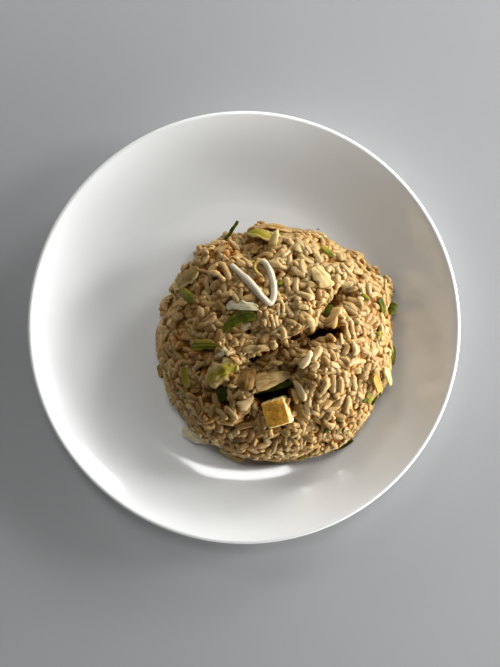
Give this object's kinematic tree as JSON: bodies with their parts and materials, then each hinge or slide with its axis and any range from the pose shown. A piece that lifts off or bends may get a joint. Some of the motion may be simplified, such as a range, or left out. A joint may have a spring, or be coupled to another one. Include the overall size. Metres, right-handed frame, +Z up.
{
  "type": "fried rice plate",
  "caption": "Rounded mound of brown fried rice with tofu, egg, cabbage, spring onion and bean sprout, turned out on a round white coupe plate.",
  "frame": {"origin": "on the plate's axis, in the plane of the underside of its foot ring", "axes": "+Z up out of the plate; the mound stands off centre towards +X and a little towards -Y, and the tofu is on its -Y side"},
  "size_m": [0.205, 0.205, 0.054],
  "materials": {
    "glazed_porcelain": "glossy white glaze",
    "fried_rice": "oily, slightly glossy grains",
    "bean_sprout": "moist, translucent white",
    "fried_tofu": "golden fried skin, patches of oil",
    "cabbage": "soft cooked leaf, moist",
    "onion": "cooked, translucent, moist",
    "scallion": "moist green skin",
    "fried_egg": "soft, slightly moist"
  },
  "bodies": {
    "root": {"plate": "glazed_porcelain", "rice_mound": "fried_rice", "bean_sprout": "bean_sprout", "tofu_cube": "fried_tofu", "scallion_knob": "scallion", "cabbage_stem": "cabbage", "cabbage_fold": "cabbage", "cabbage_leaf": "cabbage", "cabbage_top": "cabbage", "cabbage_low_left": "cabbage", "leaf_top_brown": "cabbage", "onion_left": "onion", "onion_square": "onion", "green_leaf_slot": "scallion", "scallion_bow": "scallion", "scallion_pale": "scallion", "scallion_left": "scallion", "scallion_low_left": "scallion", "scallion_dark": "scallion", "scallion_sliver": "scallion", "scallion_rim_left": "scallion", "scallion_chip": "scallion", "scallion_crack": "scallion", "scallion_right": "scallion", "scallion_edge_right": "scallion", "scallion_low_right_1": "scallion", "scallion_low_right_2": "scallion", "scallion_low": "scallion", "egg_shred_right_1": "fried_egg", "egg_shred_right_2": "fried_egg", "egg_strip": "fried_egg", "egg_chip_left": "fried_egg"}
  },
  "joints": []
}
